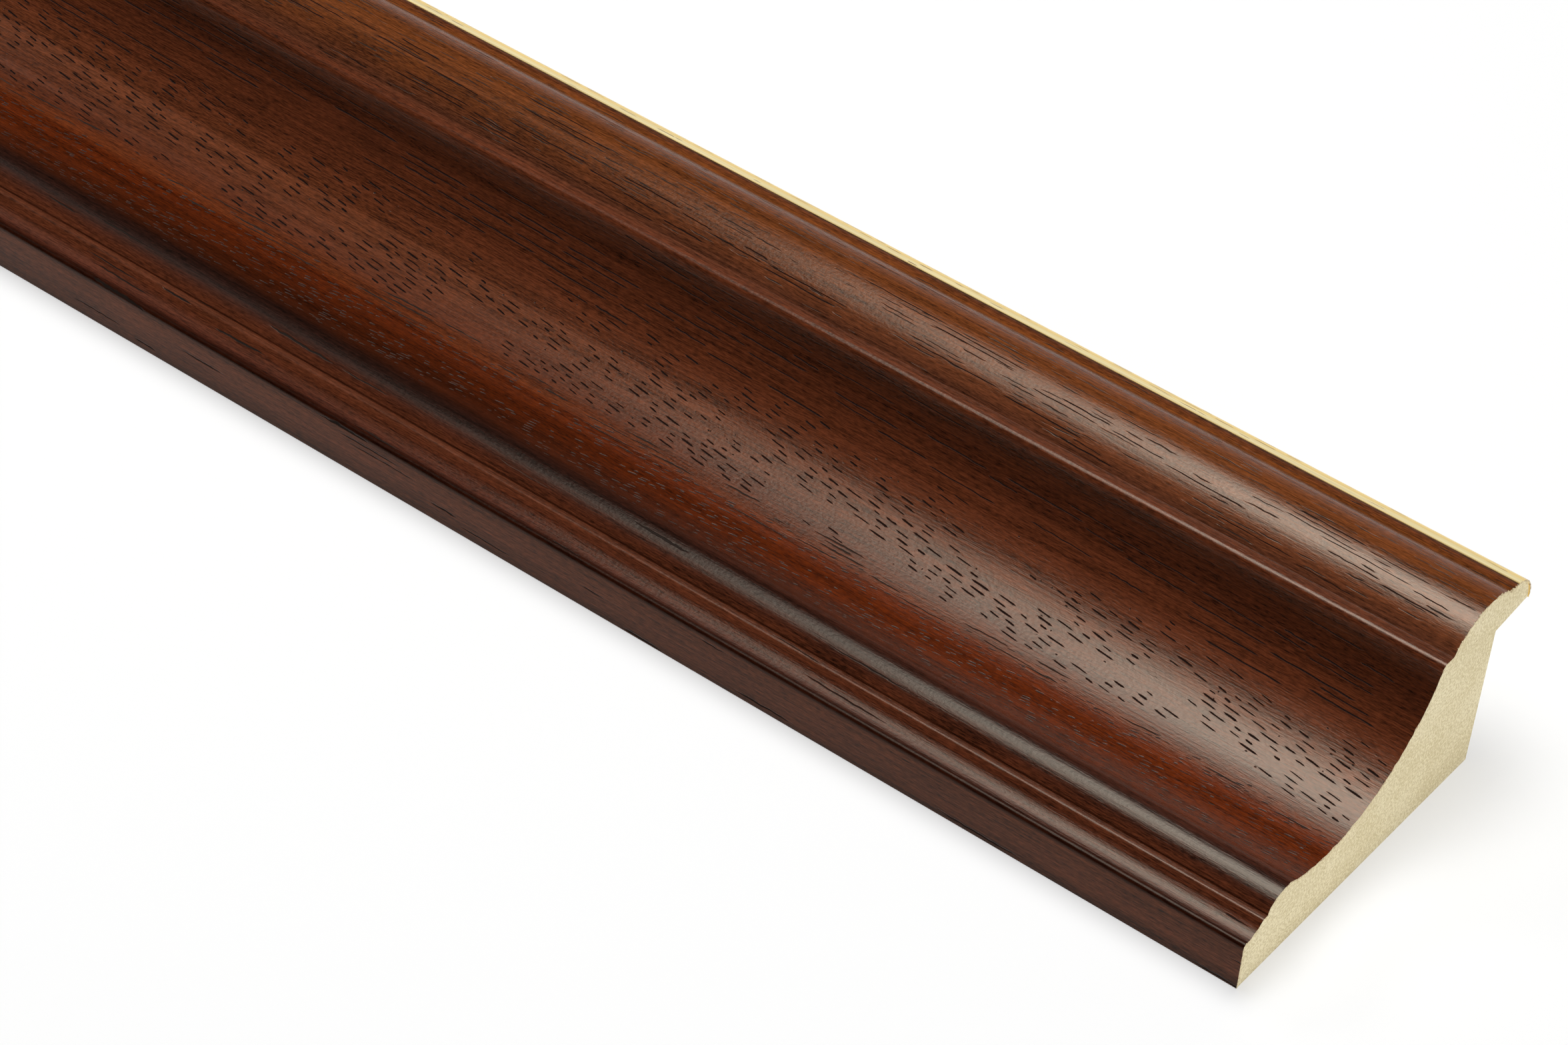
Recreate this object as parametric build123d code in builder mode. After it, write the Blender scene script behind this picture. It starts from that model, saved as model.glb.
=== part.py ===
from build123d import *
import math
import os

# Sizes of the stick, in millimetres and degrees
stick_length = 1220.0
board_thickness = 25.0
back_width = 45.8
rabbet_width = 6.4
rabbet_depth = 19.0
ledge_tilt = 6.5

# Members of the face from the outer wall inwards, each rising from the one before
wall_lean = 0.35
wall_height = 6.5
cove_width = 3.3
cove_rise = 1.3
cove_sag = 0.45
step_width = 0.9
riser_height = 0.4
bead_width = 5.0
bead_rise = 0.95
bead_sag = 1.0
scoop_sag = 5.6

# Members beside the sight edge, with drops below the crest of the torus
fillet_width = 1.7
fillet_drop = 3.3
torus_radius = 8.2
quirk_width = 1.3
quirk_drop = 1.4
nose_radius = 3.6

# Rounded arrises, and the two films bonded to the face
arris_radius = 0.35
wrap_thickness = 0.2
gold_thickness = 0.25
wrap_turn = 10.0
wrap_foot_gap = 0.1

# How far the cutters run past the stock
cut_margin = 2.0


def half_chord(radius, drop):
    return math.sqrt(drop * (2 * radius - drop))


# Places across the width, with the finished stick centred on the origin
overall_width = wrap_thickness + wall_lean + back_width + rabbet_width + gold_thickness
outer_y = wrap_thickness - overall_width / 2
rabbet_y = outer_y + wall_lean + back_width
tip_y = rabbet_y + rabbet_width
nose_y = tip_y - nose_radius
torus_end_y = nose_y - quirk_width
torus_y = torus_end_y - half_chord(torus_radius, quirk_drop)
fillet_end_y = torus_y - half_chord(torus_radius, fillet_drop)

# Heights, of the outer members up from the back and of the inner members down from the crest
step_z = wall_height + cove_rise
bead_foot_z = step_z + riser_height
valley_z = bead_foot_z + bead_rise
fillet_z = board_thickness - fillet_drop
quirk_z = board_thickness - quirk_drop
nose_z = quirk_z - nose_radius

# Points where the members of the face meet
wall_foot = (outer_y + wall_lean, 0)
wall_top = (outer_y, wall_height)
cove_end = (outer_y + cove_width, step_z)
step_end = (cove_end[0] + step_width, step_z)
bead_foot = (step_end[0], bead_foot_z)
valley = (bead_foot[0] + bead_width, valley_z)
scoop_top = (fillet_end_y - fillet_width, fillet_z)
fillet_end = (fillet_end_y, fillet_z)
crest = (torus_y, board_thickness)
torus_end = (torus_end_y, quirk_z)
nose_top = (nose_y, quirk_z)
nose_tip = (tip_y, nose_z)

# Face under the wood-grain wrap: wall, cove, step, bead, scoop, fillet, torus, quirk, nose shoulder
with BuildLine() as wrapped_face:
    Line(wall_foot, wall_top)
    SagittaArc(wall_top, cove_end, -cove_sag)
    Polyline(cove_end, step_end, bead_foot)
    SagittaArc(bead_foot, valley, bead_sag)
    SagittaArc(valley, scoop_top, -scoop_sag)
    Line(scoop_top, fillet_end)
    ThreePointArc(fillet_end, crest, torus_end)
    Line(torus_end, nose_top)
    nose_shoulder = JernArc(nose_top, (1, 0), nose_radius, -wrap_turn)
    arrises = [wrapped_face.vertices().sort_by_distance(point)[0] for point in (wall_top, cove_end, scoop_top)]
    fillet(arrises, radius=arris_radius)

# Face under the gold film: the rest of the nose, run straight down past the ledge
with BuildLine() as gilded_face:
    TangentArc(nose_shoulder @ 1, nose_tip, tangent=nose_shoulder % 1)
    Line(nose_tip, (tip_y, 0))

# Space of the rabbet, which holds the glass, picture and backing
with BuildSketch() as rabbet_space:
    with BuildLine():
        reach = rabbet_width + gold_thickness + cut_margin
        Polyline(
            (rabbet_y, -cut_margin),
            (rabbet_y, rabbet_depth),
            (rabbet_y + reach, rabbet_depth + reach * math.tan(math.radians(ledge_tilt))),
            (rabbet_y + reach, -cut_margin),
            close=True,
        )
    make_face()

# Space at the foot of the wall, where the wrap is trimmed just clear of the back
with BuildSketch() as space_under_wrap:
    with Locations((0, wrap_foot_gap)):
        Rectangle(overall_width + 2 * cut_margin, cut_margin, align=(Align.CENTER, Align.MAX))

# Fibreboard core
with BuildPart() as fibreboard_core:
    with BuildSketch(Plane.YZ):
        with BuildLine():
            add(wrapped_face.line)
            add(gilded_face.line)
            Line((tip_y, 0), wall_foot)
        make_face()
        add(rabbet_space.sketch, mode=Mode.SUBTRACT)
    extrude(amount=stick_length / 2, both=True)
fibreboard_core.part.label = "fibreboard_core"

# Wood-grain wrap on the outer wall and the face
with BuildPart() as wood_grain_wrap:
    with BuildSketch(Plane.YZ):
        with BuildLine():
            add(wrapped_face.line)
            offset(amount=wrap_thickness, side=Side.LEFT, kind=Kind.INTERSECTION, closed=True)
        make_face()
        add(space_under_wrap.sketch, mode=Mode.SUBTRACT)
    extrude(amount=stick_length / 2, both=True)
wood_grain_wrap.part.label = "wood_grain_wrap"

# Gold film on the nose, trimmed flush with the ledge
with BuildPart() as gold_lip:
    with BuildSketch(Plane.YZ):
        with BuildLine():
            add(gilded_face.line)
            offset(amount=gold_thickness, side=Side.LEFT, kind=Kind.INTERSECTION, closed=True)
        make_face()
        add(rabbet_space.sketch, mode=Mode.SUBTRACT)
    extrude(amount=stick_length / 2, both=True)
gold_lip.part.label = "gold_lip"

os.makedirs("parts", exist_ok=True)
for piece in (fibreboard_core, wood_grain_wrap, gold_lip):
    export_step(piece.part, f"parts/{piece.part.label}.step")
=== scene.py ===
import math
import random

import bmesh
import bpy
from mathutils import Matrix, Vector, noise


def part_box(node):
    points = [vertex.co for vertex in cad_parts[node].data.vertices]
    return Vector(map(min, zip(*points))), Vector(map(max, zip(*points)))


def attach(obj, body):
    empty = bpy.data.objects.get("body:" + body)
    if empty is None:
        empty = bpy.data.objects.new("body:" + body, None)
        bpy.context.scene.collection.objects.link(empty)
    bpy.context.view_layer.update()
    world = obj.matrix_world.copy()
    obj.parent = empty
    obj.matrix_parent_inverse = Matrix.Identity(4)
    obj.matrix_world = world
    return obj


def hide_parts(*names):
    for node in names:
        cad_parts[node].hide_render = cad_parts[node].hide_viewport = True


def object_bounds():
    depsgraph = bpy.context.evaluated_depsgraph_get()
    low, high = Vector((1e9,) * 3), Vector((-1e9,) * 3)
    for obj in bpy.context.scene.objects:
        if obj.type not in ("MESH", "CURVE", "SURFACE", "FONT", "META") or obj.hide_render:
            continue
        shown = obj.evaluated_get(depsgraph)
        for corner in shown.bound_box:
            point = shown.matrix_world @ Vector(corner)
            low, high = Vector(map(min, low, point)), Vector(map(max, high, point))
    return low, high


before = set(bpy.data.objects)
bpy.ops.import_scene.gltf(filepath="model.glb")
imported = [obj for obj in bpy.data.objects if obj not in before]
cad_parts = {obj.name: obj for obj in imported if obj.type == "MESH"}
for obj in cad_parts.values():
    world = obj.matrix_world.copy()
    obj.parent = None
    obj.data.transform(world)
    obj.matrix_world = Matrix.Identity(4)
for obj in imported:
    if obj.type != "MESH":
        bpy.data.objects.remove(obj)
cadLow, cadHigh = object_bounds()
mm = 0.001
print("frame loaded:", ", ".join(sorted(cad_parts)))

# the section in millimetres and degrees, from the outer wall over the face to the sight edge
section = {
    "backWidth": 45.8,
    "rabbetWidth": 6.4,
    "rabbetDepth": 19.0,
    "ledgeTilt": 6.5,
    "wallLean": 0.35,
    "wallHeight": 6.5,
    "coveWidth": 3.3,
    "coveRise": 1.3,
    "coveSag": 0.45,
    "stepWidth": 0.9,
    "riserHeight": 0.4,
    "beadWidth": 5.0,
    "beadRise": 0.95,
    "beadSag": 1.0,
    "scoopSag": 5.6,
    "filletWidth": 1.7,
    "filletDrop": 3.3,
    "torusRadius": 8.2,
    "quirkWidth": 1.3,
    "quirkDrop": 1.4,
    "noseRadius": 3.6,
    "wrapTurn": 5.0,  # degrees that the wrap runs on round the nose
}

# how far each arris is cut back along its two sides before it is rounded, in mm
arrises = {"wallTop": 0.343, "coveEnd": 0.12, "scoopTop": 0.42}

# how finely the curves are drawn, and how close counts as touching
drawing = {
    "coveSteps": 7,
    "beadSteps": 18,
    "scoopSteps": 42,
    "torusSteps": 22,
    "shoulderSteps": 2,
    "noseSteps": 20,
    "arrisSteps": 5,
    "nearby": 0.01 * mm,
    "cutTouch": 0.001 * mm,  # small enough that a cut leaves no flap
    "sawnEnd": 0.7,  # a face whose normal runs this far along the stick is at a sawn end
    "filmInset": 0.006 * mm,  # films are drawn this much thinner than the CAD ones
}


def halfChord(radius, drop):
    return math.sqrt(drop * (2 * radius - drop))


def sectionPlaces(s):
    # corner points of the core as (y, z) in mm, hung from the tip and the crest of the CAD core
    low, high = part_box("fibreboard_core")
    tipY = high.y / mm
    crestZ = high.z / mm
    rabbetY = tipY - s["rabbetWidth"]
    outerY = rabbetY - s["backWidth"] - s["wallLean"]
    noseY = tipY - s["noseRadius"]
    quirkZ = crestZ - s["quirkDrop"]
    noseZ = quirkZ - s["noseRadius"]
    torusEndY = noseY - s["quirkWidth"]
    torusY = torusEndY - halfChord(s["torusRadius"], s["quirkDrop"])
    filletEndY = torusY - halfChord(s["torusRadius"], s["filletDrop"])
    filletZ = crestZ - s["filletDrop"]
    stepZ = s["wallHeight"] + s["coveRise"]
    stepY = outerY + s["coveWidth"]
    beadY = stepY + s["stepWidth"]
    beadZ = stepZ + s["riserHeight"]
    radius = s["noseRadius"]
    turn = math.radians(s["wrapTurn"])
    tilt = math.tan(math.radians(s["ledgeTilt"]))
    return {
        "wallFoot": (outerY + s["wallLean"], 0.0),
        "wallTop": (outerY, s["wallHeight"]),
        "coveEnd": (stepY, stepZ),
        "stepEnd": (beadY, stepZ),
        "beadFoot": (beadY, beadZ),
        "valley": (beadY + s["beadWidth"], beadZ + s["beadRise"]),
        "scoopTop": (filletEndY - s["filletWidth"], filletZ),
        "filletEnd": (filletEndY, filletZ),
        "torusCentre": (torusY, crestZ - s["torusRadius"]),
        "torusEnd": (torusEndY, quirkZ),
        "noseTop": (noseY, quirkZ),
        "noseCentre": (noseY, noseZ),
        "shoulder": (noseY + radius * math.sin(turn), noseZ + radius * math.cos(turn)),
        "noseTip": (tipY, noseZ),
        "ledgeEnd": (tipY, s["rabbetDepth"] + s["rabbetWidth"] * tilt),
        "ledgeRoot": (rabbetY, s["rabbetDepth"]),
        "rabbetFoot": (rabbetY, 0.0),
    }


place = sectionPlaces(section)
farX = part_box("fibreboard_core")[0].x
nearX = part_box("fibreboard_core")[1].x
pen = {"x": 0.0, "at": (0.0, 0.0)}  # where the drawing of a section has got to


def deselectAll():
    if bpy.context.object and bpy.context.object.mode == "EDIT":
        bpy.ops.object.mode_set(mode="OBJECT")
    bpy.ops.object.select_all(action="DESELECT")


def editAll():
    bpy.ops.object.mode_set(mode="EDIT")
    bpy.ops.mesh.select_all(action="SELECT")


def penDown(name, x, point):
    # a plane shrunk to one vertex, which the strokes below draw out
    deselectAll()
    bpy.ops.mesh.primitive_plane_add(size=mm)
    piece = bpy.context.object
    piece.name = name
    bpy.ops.object.mode_set(mode="EDIT")
    bpy.ops.mesh.select_mode(type="VERT")
    bpy.ops.mesh.select_all(action="SELECT")
    bpy.ops.mesh.merge(type="CENTER")
    bpy.ops.transform.translate(value=(x, point[0] * mm, point[1] * mm))
    pen["x"] = x
    pen["at"] = point
    return piece


def lineTo(point):
    step = [(b - a) * mm for a, b in zip(pen["at"], point)]
    bpy.ops.mesh.extrude_region_move(TRANSFORM_OT_translate={"value": (0, *step)})
    pen["at"] = point


def turnTo(point, centre, steps):
    # an arc about a centre: spin turns the other way round from the angles of the y-z plane
    angles = [math.atan2(p[1] - centre[1], p[0] - centre[0]) for p in (pen["at"], point)]
    sweep = math.remainder(angles[1] - angles[0], math.tau)
    middle = (pen["x"], centre[0] * mm, centre[1] * mm)
    bpy.ops.mesh.spin(steps=steps, angle=-sweep, center=middle, axis=(1, 0, 0))
    pen["at"] = point


def sagTo(point, sag, steps):
    # an arc by its sag: above the chord when positive, hollow when negative
    chord = Vector(point) - Vector(pen["at"])
    reach = chord.length ** 2 / (8 * sag) - sag / 2
    normal = Vector((chord.y, -chord.x)).normalized()
    centre = (Vector(pen["at"]) + Vector(point)) / 2 + normal * reach
    turnTo(point, tuple(centre), steps)


def pick(piece, test):
    # selects vertices by their place, in edit mode
    bpy.ops.mesh.select_all(action="DESELECT")
    shape = bmesh.from_edit_mesh(piece.data)
    for vert in shape.verts:
        vert.select = test(vert.co)
    shape.select_flush(True)
    bmesh.update_edit_mesh(piece.data)


def drawWrappedFace():
    # wall, cove, step, riser, bead, scoop, fillet, torus, quirk and the shoulder of the nose
    lineTo(place["wallTop"])
    sagTo(place["coveEnd"], -section["coveSag"], drawing["coveSteps"])
    lineTo(place["stepEnd"])
    lineTo(place["beadFoot"])
    sagTo(place["valley"], section["beadSag"], drawing["beadSteps"])
    sagTo(place["scoopTop"], -section["scoopSag"], drawing["scoopSteps"])
    lineTo(place["filletEnd"])
    turnTo(place["torusEnd"], place["torusCentre"], drawing["torusSteps"])
    lineTo(place["noseTop"])
    turnTo(place["shoulder"], place["noseCentre"], drawing["shoulderSteps"])


def roundArrises(piece):
    for name, cutBack in arrises.items():
        corner = Vector((pen["x"], place[name][0] * mm, place[name][1] * mm))
        pick(piece, lambda co: (co - corner).length < drawing["nearby"])
        bpy.ops.mesh.bevel(offset=cutBack * mm, segments=drawing["arrisSteps"], affect="VERTICES")


def drawAlong(lengths):
    # pulls the selected section along the stick
    for length in lengths:
        bpy.ops.mesh.extrude_region_move(TRANSFORM_OT_translate={"value": (length, 0, 0)})


def faceUp(piece):
    # an open sheet with its normals away from the core
    bpy.ops.mesh.select_all(action="SELECT")
    bpy.ops.mesh.normals_make_consistent(inside=False)
    bpy.ops.object.mode_set(mode="OBJECT")
    if sum(face.normal.z * face.area for face in piece.data.polygons) < 0:
        editAll()
        bpy.ops.mesh.flip_normals()
        bpy.ops.object.mode_set(mode="OBJECT")


def thicken(piece, thickness):
    # Solidify on the outer side, with corners that keep the film's thickness
    film = piece.modifiers.new("film", "SOLIDIFY")
    film.thickness = thickness
    film.offset = 1.0
    film.use_even_offset = True
    film.use_quality_normals = True
    bpy.ops.object.modifier_apply(modifier=film.name)


def drawFilm(piece, build):
    # pulls the drawn face along the stick in parts and gives it its thickness
    editAll()
    count = build["lengthParts"]
    drawAlong([(nearX - farX) / count] * count)
    faceUp(piece)
    thicken(piece, build["thickness"])


def trimOff(point, upward):
    # cuts away what lies below a plane and closes the cut
    editAll()
    bpy.ops.mesh.bisect(
        plane_co=point, plane_no=upward, use_fill=True, clear_inner=True, threshold=drawing["cutTouch"]
    )
    bpy.ops.object.mode_set(mode="OBJECT")


def markAcross(piece):
    # distance over the face from the foot of the wall, kept on each vertex for the grain to follow
    bpy.ops.object.mode_set(mode="OBJECT")
    mesh = piece.data
    near = {vert.index: [] for vert in mesh.vertices}
    for edge in mesh.edges:
        near[edge.vertices[0]].append(edge.vertices[1])
        near[edge.vertices[1]].append(edge.vertices[0])
    here = min((i for i in near if len(near[i]) == 1), key=lambda i: mesh.vertices[i].co.y)
    across = mesh.attributes.new("across", "FLOAT", "POINT")
    walked = 0.0
    seen = {here}
    while True:
        across.data[here].value = walked
        onward = [i for i in near[here] if i not in seen]
        if not onward:
            break
        walked += (mesh.vertices[onward[0]].co - mesh.vertices[here].co).length
        here = onward[0]
        seen.add(here)
    print(piece.name, "is", round(walked / mm, 2), "mm across the face")


# wood-grain wrap
wrapBuild = {
    "lengthParts": 12,
    "trimAbove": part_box("wood_grain_wrap")[0].z,
    "thickness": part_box("wood_grain_wrap")[1].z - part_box("fibreboard_core")[1].z - drawing["filmInset"],
    "ragged": 0.1,  # mm at most, always inwards
    "tearSeed": 7,
    "smoothAngle": 30,
}


def tearEnds(piece):
    # the saw left the film slightly ragged at both ends
    dice = random.Random(wrapBuild["tearSeed"])
    for vert in piece.data.vertices:
        tear = wrapBuild["ragged"] * mm * dice.random() ** 2
        if abs(vert.co.x - nearX) < drawing["nearby"]:
            vert.co.x -= tear
        elif abs(vert.co.x - farX) < drawing["nearby"]:
            vert.co.x += tear


def sortFaces(piece):
    # each face gets the material of its band, the sawn ends show the paper and the pores are dark
    across = piece.data.attributes["across"].data
    sunk = piece.data.attributes["pore"].data
    tops = [band["to"] for band in filmBands.values()]
    for face in piece.data.polygons:
        spot = sum(across[i].value for i in face.vertices) / len(face.vertices) / mm
        face.material_index = sum(spot > top for top in tops)
        if abs(face.normal.x) > drawing["sawnEnd"]:
            face.material_index = len(filmBands)
        elif any(sunk[i].value > 0.5 for i in face.vertices):
            face.material_index = len(filmBands) + 1


# open pores cut into the film, in mm: zone as (first, full, full, last) across the face
carveBuild = {
    "zone": (26.0, 58.0),
    "narrowest": 0.5,  # strips of the face narrower than this stay whole
    "endGap": 0.5,
    "clear": 0.35,  # left along a strip between two pores
    "rim": 0.05,  # left between a pore and the sides of its strip
    "touch": 1e-6,  # places along the stick this close are one
    "upward": 0.05,  # faces of the film's outer side look up at least this much
    "patch": (15.0, 2.4),  # size of the patches where pores crowd
    "patchShift": 7.0,
    "teeth": (2, 3),  # pores side by side in a comb
    "stagger": (0.2, 0.7),  # how far each tooth starts after the last
    "linkGap": 0.2,  # share of the clear length between the links of a chain
    "slopeSpread": (0.7, 1.2),
    "widthSpread": (0.7, 1.0),
    "depthSpread": (0.75, 1.0),
    "seed": 33,
}
carvedPores = {
    "dashes": {
        "tries": 19000, "zone": (26.4, 28.6, 33.6, 38.2), "crowd": (-0.16, 0.26), "length": (0.9, 2.8),
        "width": (0.17, 0.31), "depth": (0.08, 0.12), "jag": 0.02, "slope": 0.15, "chain": (1, 1),
        "comb": 0.35, "stations": 3,
    },
    "cracks": {
        "tries": 1350, "zone": (34.5, 37.0, 45.5, 47.2), "crowd": (-0.30, 0.15), "length": (4.0, 12.0),
        "width": (0.17, 0.28), "depth": (0.06, 0.09), "jag": 0.05, "slope": 0.05, "chain": (1, 5),
        "comb": 0.12, "stations": 7,
    },
    "slits": {
        "tries": 560, "zone": (49.6, 50.8, 55.6, 57.4), "crowd": (-0.30, 0.2), "length": (3.0, 13.0),
        "width": (0.12, 0.20), "depth": (0.06, 0.09), "jag": 0.05, "slope": 0.03, "chain": (1, 4),
        "comb": 0.2, "stations": 7,
    },
}


def gripStrips(shape):
    # takes the outer skin of the zone away and returns its lines and flat strips, in mm
    across = shape.verts.layers.float["across"]
    low, high = (edge * mm for edge in carveBuild["zone"])
    skin = [
        face for face in shape.faces
        if face.normal.z > carveBuild["upward"] and all(low < vert[across] < high for vert in face.verts)
    ]
    lines = {}
    for vert in (vert for face in skin for vert in face.verts):
        line = lines.setdefault(round(vert[across] / mm, 4), {"verts": {}})
        line["verts"][round(vert.co.x / mm, 4)] = vert
        line["at"] = Vector((vert.co.y, vert.co.z)) / mm
    rows = [{"across": at, **lines[at]} for at in sorted(lines)]
    rings = sorted(rows[0]["verts"])
    for row in rows[1:-1]:
        row["verts"] = {x: row["verts"][x] for x in (rings[0], rings[-1])}
    strips = []
    for lower, upper in zip(rows, rows[1:]):
        side = upper["at"] - lower["at"]
        strip = {"lower": lower, "upper": upper, "width": side.length, "side": side.normalized()}
        strips.append({**strip, "pores": []})
    bmesh.ops.delete(shape, geom=skin, context="FACES")
    return rows, rings, strips


def setPoint(shape, strip, x, v, sink=0.0, mark=0.0):
    # one new vertex of a strip, by its place along and across it
    outward = Vector((-strip["side"].y, strip["side"].x))
    spot = strip["lower"]["at"] + strip["side"] * v - outward * sink
    vert = shape.verts.new((x * mm, spot.x * mm, spot.y * mm))
    vert[shape.verts.layers.float["across"]] = (strip["lower"]["across"] + v) * mm
    vert[shape.verts.layers.float["pore"]] = mark
    return vert


def carveEnds():
    # where pores may start and stop along the stick, in mm
    return farX / mm + carveBuild["endGap"], nearX / mm - carveBuild["endGap"]


def hasRoom(strip, start, end):
    # true if the strip is wide enough and no other pore lies there
    first, last = carveEnds()
    if strip["width"] < carveBuild["narrowest"] or start < first or end > last:
        return False
    gap = carveBuild["clear"]
    return not any(start < pore["to"] + gap and end > pore["from"] - gap for pore in strip["pores"])


def drawPore(strip, look, start, length, dice):
    # tilted as far as its strip has room for
    room = strip["width"] - look["width"][1] - 2 * (carveBuild["rim"] + look["jag"])
    slope = min(look["slope"] * dice.uniform(*carveBuild["slopeSpread"]), room / length)
    spare = (room - slope * length) / 2
    return {
        "from": start,
        "to": start + length,
        "middle": strip["width"] / 2 + dice.uniform(-spare, spare),
        "slope": slope,
        "look": look,
        "width": dice.uniform(*look["width"]),
        "depth": dice.uniform(*look["depth"]),
    }


def drawChain(strips, first, look, start, dice):
    # one pore, or several end to end, each one strip lower
    for link in range(dice.randint(*look["chain"])):
        j = first - link
        length = dice.uniform(*look["length"])
        if not 0 < j < len(strips) - 1 or not hasRoom(strips[j], start, start + length):
            break
        strips[j]["pores"].append(drawPore(strips[j], look, start, length, dice))
        start += length + carveBuild["clear"] * carveBuild["linkGap"]


def scatterPores(strips, dice):
    # picks where pores lie: crowded in patches, some in combs, some as chains from strip to strip
    patchLength, patchWidth = carveBuild["patch"]
    for number, look in enumerate(carvedPores.values()):
        low, lowFull, highFull, high = look["zone"]
        sparse, dense = look["crowd"]
        for attempt in range(look["tries"]):
            x = dice.uniform(*carveEnds())
            across = dice.uniform(low, high)
            fits = min(1.0, (across - low) / (lowFull - low), (high - across) / (high - highFull))
            spot = Vector((x / patchLength, across / patchWidth, carveBuild["patchShift"] * number))
            chance = fits * (noise.noise(spot) - sparse) / (dense - sparse)
            if dice.random() > chance:
                continue
            home = sum(strip["upper"]["across"] <= across for strip in strips)
            comb = dice.randint(*carveBuild["teeth"]) if dice.random() < look["comb"] else 1
            for tooth in range(comb):
                start = x + tooth * dice.uniform(*carveBuild["stagger"])
                drawChain(strips, home + tooth, look, start, dice)
    for strip in strips:
        strip["pores"].sort(key=lambda pore: pore["from"])


def cutPore(shape, strip, pore, dice):
    # the vertices of one pore: two tips, both rims and the sunk middle line
    length = pore["to"] - pore["from"]
    count = pore["look"]["stations"]

    def drift(share):
        return pore["middle"] - pore["slope"] * length * (share - 0.5)

    pore["left"] = setPoint(shape, strip, pore["from"], drift(0.0))
    pore["right"] = setPoint(shape, strip, pore["to"], drift(1.0))
    pore["top"], pore["bottom"], pore["deep"] = [], [], []
    for i in range(count):
        share = (i + 0.6) / (count + 0.2)  # the first and last stations stand near the tips
        x = pore["from"] + length * share
        v = drift(share) + dice.uniform(-1.0, 1.0) * pore["look"]["jag"]
        half = pore["width"] / 2 * dice.uniform(*carveBuild["widthSpread"])
        pore["top"].append(setPoint(shape, strip, x, v + half))
        pore["bottom"].append(setPoint(shape, strip, x, v - half))
        depth = pore["depth"] * dice.uniform(*carveBuild["depthSpread"])
        pore["deep"].append(setPoint(shape, strip, x, v, depth, 1.0))


def between(row, start, end):
    # the vertices of a line from one place along the stick to another
    touch = carveBuild["touch"]
    return [row["verts"][x] for x in row["order"] if start - touch <= x <= end + touch]


def facePore(shape, pore):
    # two sloping sides, with sharp rims
    left, right, top, bottom, deep = (pore[key] for key in ("left", "right", "top", "bottom", "deep"))
    made = [(left, bottom[0], deep[0]), (left, deep[0], top[0])]
    for i in range(len(deep) - 1):
        made.append((bottom[i], bottom[i + 1], deep[i + 1], deep[i]))
        made.append((deep[i], deep[i + 1], top[i + 1], top[i]))
    made += [(bottom[-1], right, deep[-1]), (deep[-1], right, top[-1])]
    for corners in made:
        shape.faces.new(corners)
    for rim in ([left, *top, right], [left, *bottom, right]):
        for first, second in zip(rim, rim[1:]):
            shape.edges.get((first, second)).smooth = False


def skinStrip(shape, strip, rings):
    # flat faces round the pores of one strip, from the far end to the sawn end
    lower, upper = strip["lower"], strip["upper"]
    reached = rings[0]
    tip = []
    for pore in strip["pores"]:
        start, end = pore["from"], pore["to"]
        before = between(lower, reached, start) + [pore["left"]]
        shape.faces.new(before + between(upper, reached, start)[::-1] + tip)
        below = [pore["right"], *pore["bottom"][::-1], pore["left"]]
        shape.faces.new(between(lower, start, end) + below)
        above = [pore["left"], *pore["top"], pore["right"]]
        shape.faces.new(above + between(upper, start, end)[::-1])
        facePore(shape, pore)
        reached = end
        tip = [pore["right"]]
    if strip["pores"]:
        last = rings[-1]
        shape.faces.new(between(lower, reached, last) + between(upper, reached, last)[::-1] + tip)
        return
    for start, end in zip(rings, rings[1:]):
        shape.faces.new(between(lower, start, end) + between(upper, start, end)[::-1])


def carvePores(piece):
    # cuts the pores and closes the skin round them
    dice = random.Random(carveBuild["seed"])
    shape = bmesh.new()
    shape.from_mesh(piece.data)
    shape.verts.layers.float.new("pore")
    rows, rings, strips = gripStrips(shape)
    scatterPores(strips, dice)
    for strip in strips:
        for pore in strip["pores"]:
            cutPore(shape, strip, pore, dice)
            for row, v in ((strip["lower"], 0.0), (strip["upper"], strip["width"])):
                for x in (pore["from"], pore["to"]):
                    row["verts"][x] = setPoint(shape, strip, x, v)
    for above, row in zip(strips[1:], rows[1:-1]):
        for x in rings[1:-1]:
            row["verts"][x] = setPoint(shape, above, x, 0.0)
    for row in rows:
        row["order"] = sorted(row["verts"])
    for strip in strips:
        skinStrip(shape, strip, rings)
    shape.to_mesh(piece.data)
    shape.free()
    print("pores cut:", sum(len(strip["pores"]) for strip in strips))


def makeWrap():
    piece = penDown("wood_grain_film", farX, place["wallFoot"])
    drawWrappedFace()
    roundArrises(piece)
    markAcross(piece)
    drawFilm(piece, wrapBuild)
    trimOff((0, 0, wrapBuild["trimAbove"]), (0, 0, 1))
    carvePores(piece)
    tearEnds(piece)
    bpy.ops.object.shade_smooth_by_angle(angle=math.radians(wrapBuild["smoothAngle"]))
    return piece


# gold film on the nose
lipBuild = {
    "lengthParts": 12,
    "thickness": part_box("gold_lip")[1].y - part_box("fibreboard_core")[1].y - drawing["filmInset"],
    "runPast": 0.4,  # drawn this far below the ledge, then trimmed flush with it
    "smoothAngle": 30,
}


def makeLip():
    piece = penDown("gold_film", farX, place["shoulder"])
    turnTo(place["noseTip"], place["noseCentre"], drawing["noseSteps"])
    lineTo((place["ledgeEnd"][0], place["ledgeEnd"][1] - lipBuild["runPast"]))
    markAcross(piece)
    drawFilm(piece, lipBuild)
    tilt = math.radians(section["ledgeTilt"])
    ledge = (0, place["ledgeEnd"][0] * mm, place["ledgeEnd"][1] * mm)
    trimOff(ledge, (0, -math.sin(tilt), math.cos(tilt)))
    tearEnds(piece)
    bpy.ops.object.shade_smooth_by_angle(angle=math.radians(lipBuild["smoothAngle"]))
    return piece


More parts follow.
